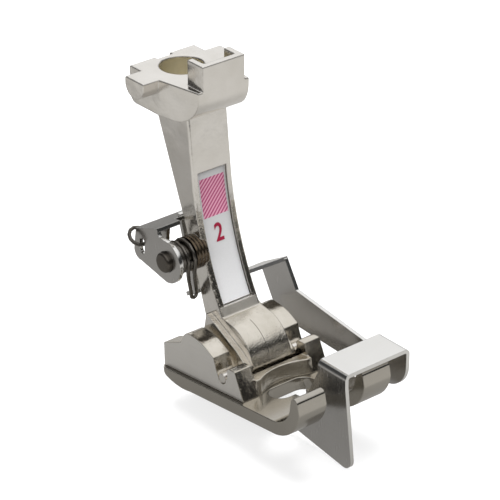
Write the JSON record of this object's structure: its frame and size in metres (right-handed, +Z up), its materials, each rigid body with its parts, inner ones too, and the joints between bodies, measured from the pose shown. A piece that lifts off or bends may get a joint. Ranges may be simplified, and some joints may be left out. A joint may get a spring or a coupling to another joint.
{
  "type": "sewing machine presser foot",
  "caption": "Presser foot for a sewing machine: forked head on a curved leg, hinged sole with turned-up toes, and a sprung sheet-metal hem guide with a blade.",
  "frame": {"origin": "on the axis of the socket, level with the flat top of the head", "axes": "+X to the machine user's right, -Y to the user, +Z up along the socket's axis"},
  "size_m": [0.0218, 0.0413, 0.0523],
  "materials": {
    "plated_casting": "satin",
    "sole_casting": "satin",
    "sole_polished": "polished",
    "sheet_steel": "polished",
    "dark_pin": "turned",
    "spring_wire": "drawn",
    "sticker": "printed"
  },
  "bodies": {
    "shank": {"shank": "plated_casting", "number_label": "sticker", "hinge_pin": "plated_casting", "pivot_pin": "dark_pin", "spring_bush": "dark_pin", "spacer_washer": "sheet_steel", "torsion_spring": "spring_wire"},
    "sole": {"hinge_block": "sole_casting", "sole_plate": "sole_polished"},
    "guide": {"guide_arm": "sheet_steel"}
  },
  "joints": [
    {"name": "sole_tilt", "type": "hinge", "parent": "shank", "child": "sole", "pos_m": [0, -0.018, -0.0395], "axis": [1, 0, 0], "range_deg": [-1.5, 14]},
    {"name": "guide_lift", "type": "hinge", "parent": "shank", "child": "guide", "pos_m": [0, -0.007, -0.0252], "axis": [-1, 0, 0], "range_deg": [0, 8], "stiffness_Nm_per_rad": 0.02, "springref_deg": -20.05, "deforming": ["torsion_spring"]}
  ]
}
